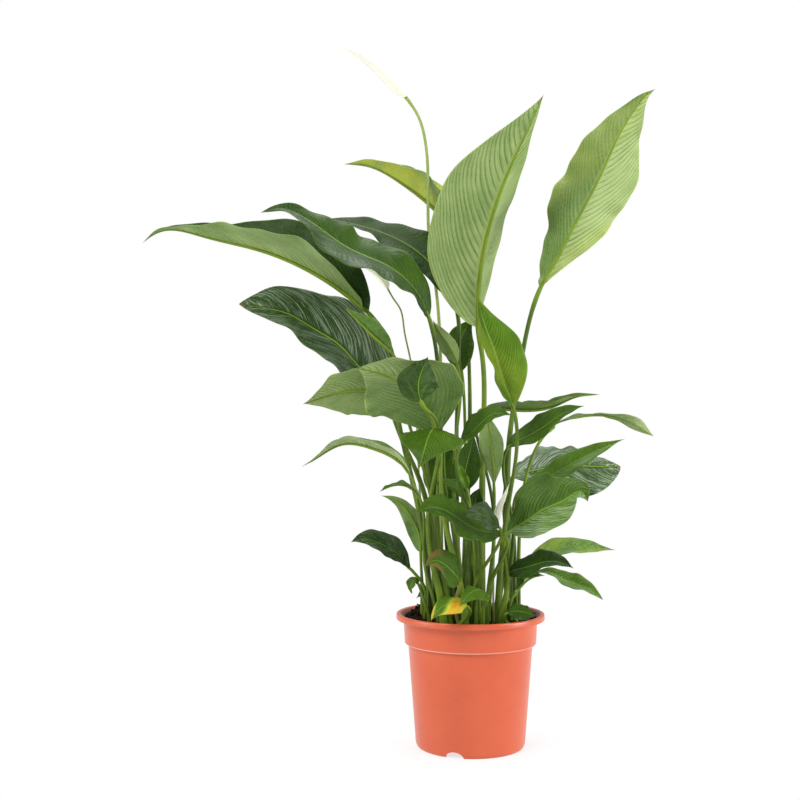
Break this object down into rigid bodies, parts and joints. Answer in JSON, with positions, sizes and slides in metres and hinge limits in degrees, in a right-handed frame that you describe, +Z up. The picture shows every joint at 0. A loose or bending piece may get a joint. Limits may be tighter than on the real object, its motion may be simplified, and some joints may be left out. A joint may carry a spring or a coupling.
{
  "type": "potted peace lily",
  "caption": "Leafy potted peace lily: long arching pointed leaves on slim stalks and cream spathes, rooted in dark soil in a round terracotta-coloured plastic nursery pot.",
  "frame": {"origin": "middle of the pot's base, on the surface that the pot stands on", "axes": "+Z up from the base through the plant, -Y towards the front, +X to the right seen from the front"},
  "size_m": [0.6038, 0.2852, 0.8158],
  "materials": {
    "pot": "moulded terracotta-coloured polypropylene, satin",
    "soil": "damp dark peat compost with bits of bark, rough",
    "leaf_green": "mid-green upper side, waxy half gloss, ribbed by side veins",
    "leaf_deep_green": "deep green upper side, glossy, ribbed by side veins",
    "leaf_underside": "pale sage underside, matt, with a yellow-green midrib",
    "leaf_lime": "young yellow-green, half gloss",
    "leaf_dry_edge": "green turning to a dry brown edge, matt",
    "leaf_yellowing": "green turning yellow, half gloss",
    "flower_stalk": "yellow-green stalk, half gloss",
    "spathe": "cream-white, satin, faintly veined with green",
    "spadix": "cream, knobbly, matt"
  },
  "bodies": {
    "root": {"pot": "pot", "soil": "soil", "leaf_tall_centre": "leaf_underside", "leaf_tall_right": "leaf_underside", "leaf_high_left": "leaf_lime", "leaf_far_left": "leaf_green", "leaf_left_front": "leaf_green", "leaf_left_back": "leaf_deep_green", "leaf_dark_left": "leaf_deep_green", "leaf_slim_left": "leaf_underside", "leaf_low_left_pale": "leaf_underside", "leaf_centre_front": "leaf_underside", "leaf_centre_dark": "leaf_deep_green", "leaf_front_drooping": "leaf_green", "leaf_thin_arch": "leaf_underside", "leaf_upright_green": "leaf_green", "leaf_upright_dark": "leaf_deep_green", "leaf_thin_spear": "leaf_underside", "leaf_right_near": "leaf_green", "leaf_right_twist": "leaf_deep_green", "leaf_right_slant": "leaf_green", "leaf_right_long": "leaf_green", "leaf_right_striped": "leaf_deep_green", "leaf_right_folded": "leaf_green", "leaf_right_front": "leaf_green", "leaf_left_low_front": "leaf_green", "leaf_small_dark_front": "leaf_deep_green", "leaf_low_left_dark": "leaf_deep_green", "leaf_slim_upright_left": "leaf_underside", "leaf_thin_left": "leaf_green", "leaf_dry_edge": "leaf_dry_edge", "leaf_yellowing": "leaf_yellowing", "leaf_low_triangle": "leaf_green", "leaf_low_right_dark": "leaf_deep_green", "leaf_low_right_pale": "leaf_underside", "leaf_low_right_drooping": "leaf_green", "leaf_low_right_slim": "leaf_underside", "leaf_on_soil_right": "leaf_deep_green", "leaf_rim_left": "leaf_deep_green", "leaf_small_drooping": "leaf_underside", "leaf_upright_pale": "leaf_underside", "leaf_middle_broad": "leaf_green", "leaf_middle_arc": "leaf_green", "leaf_middle_dark": "leaf_deep_green", "leaf_young_spear": "leaf_lime", "leaf_middle_back": "leaf_green", "flower_stem_1": "flower_stalk", "spathe_1": "spathe", "spadix_1": "spadix", "flower_stem_2": "flower_stalk", "spathe_2": "spathe", "spadix_2": "spadix", "flower_stem_3": "flower_stalk", "spathe_3": "spathe", "spadix_3": "spadix"}
  },
  "joints": []
}
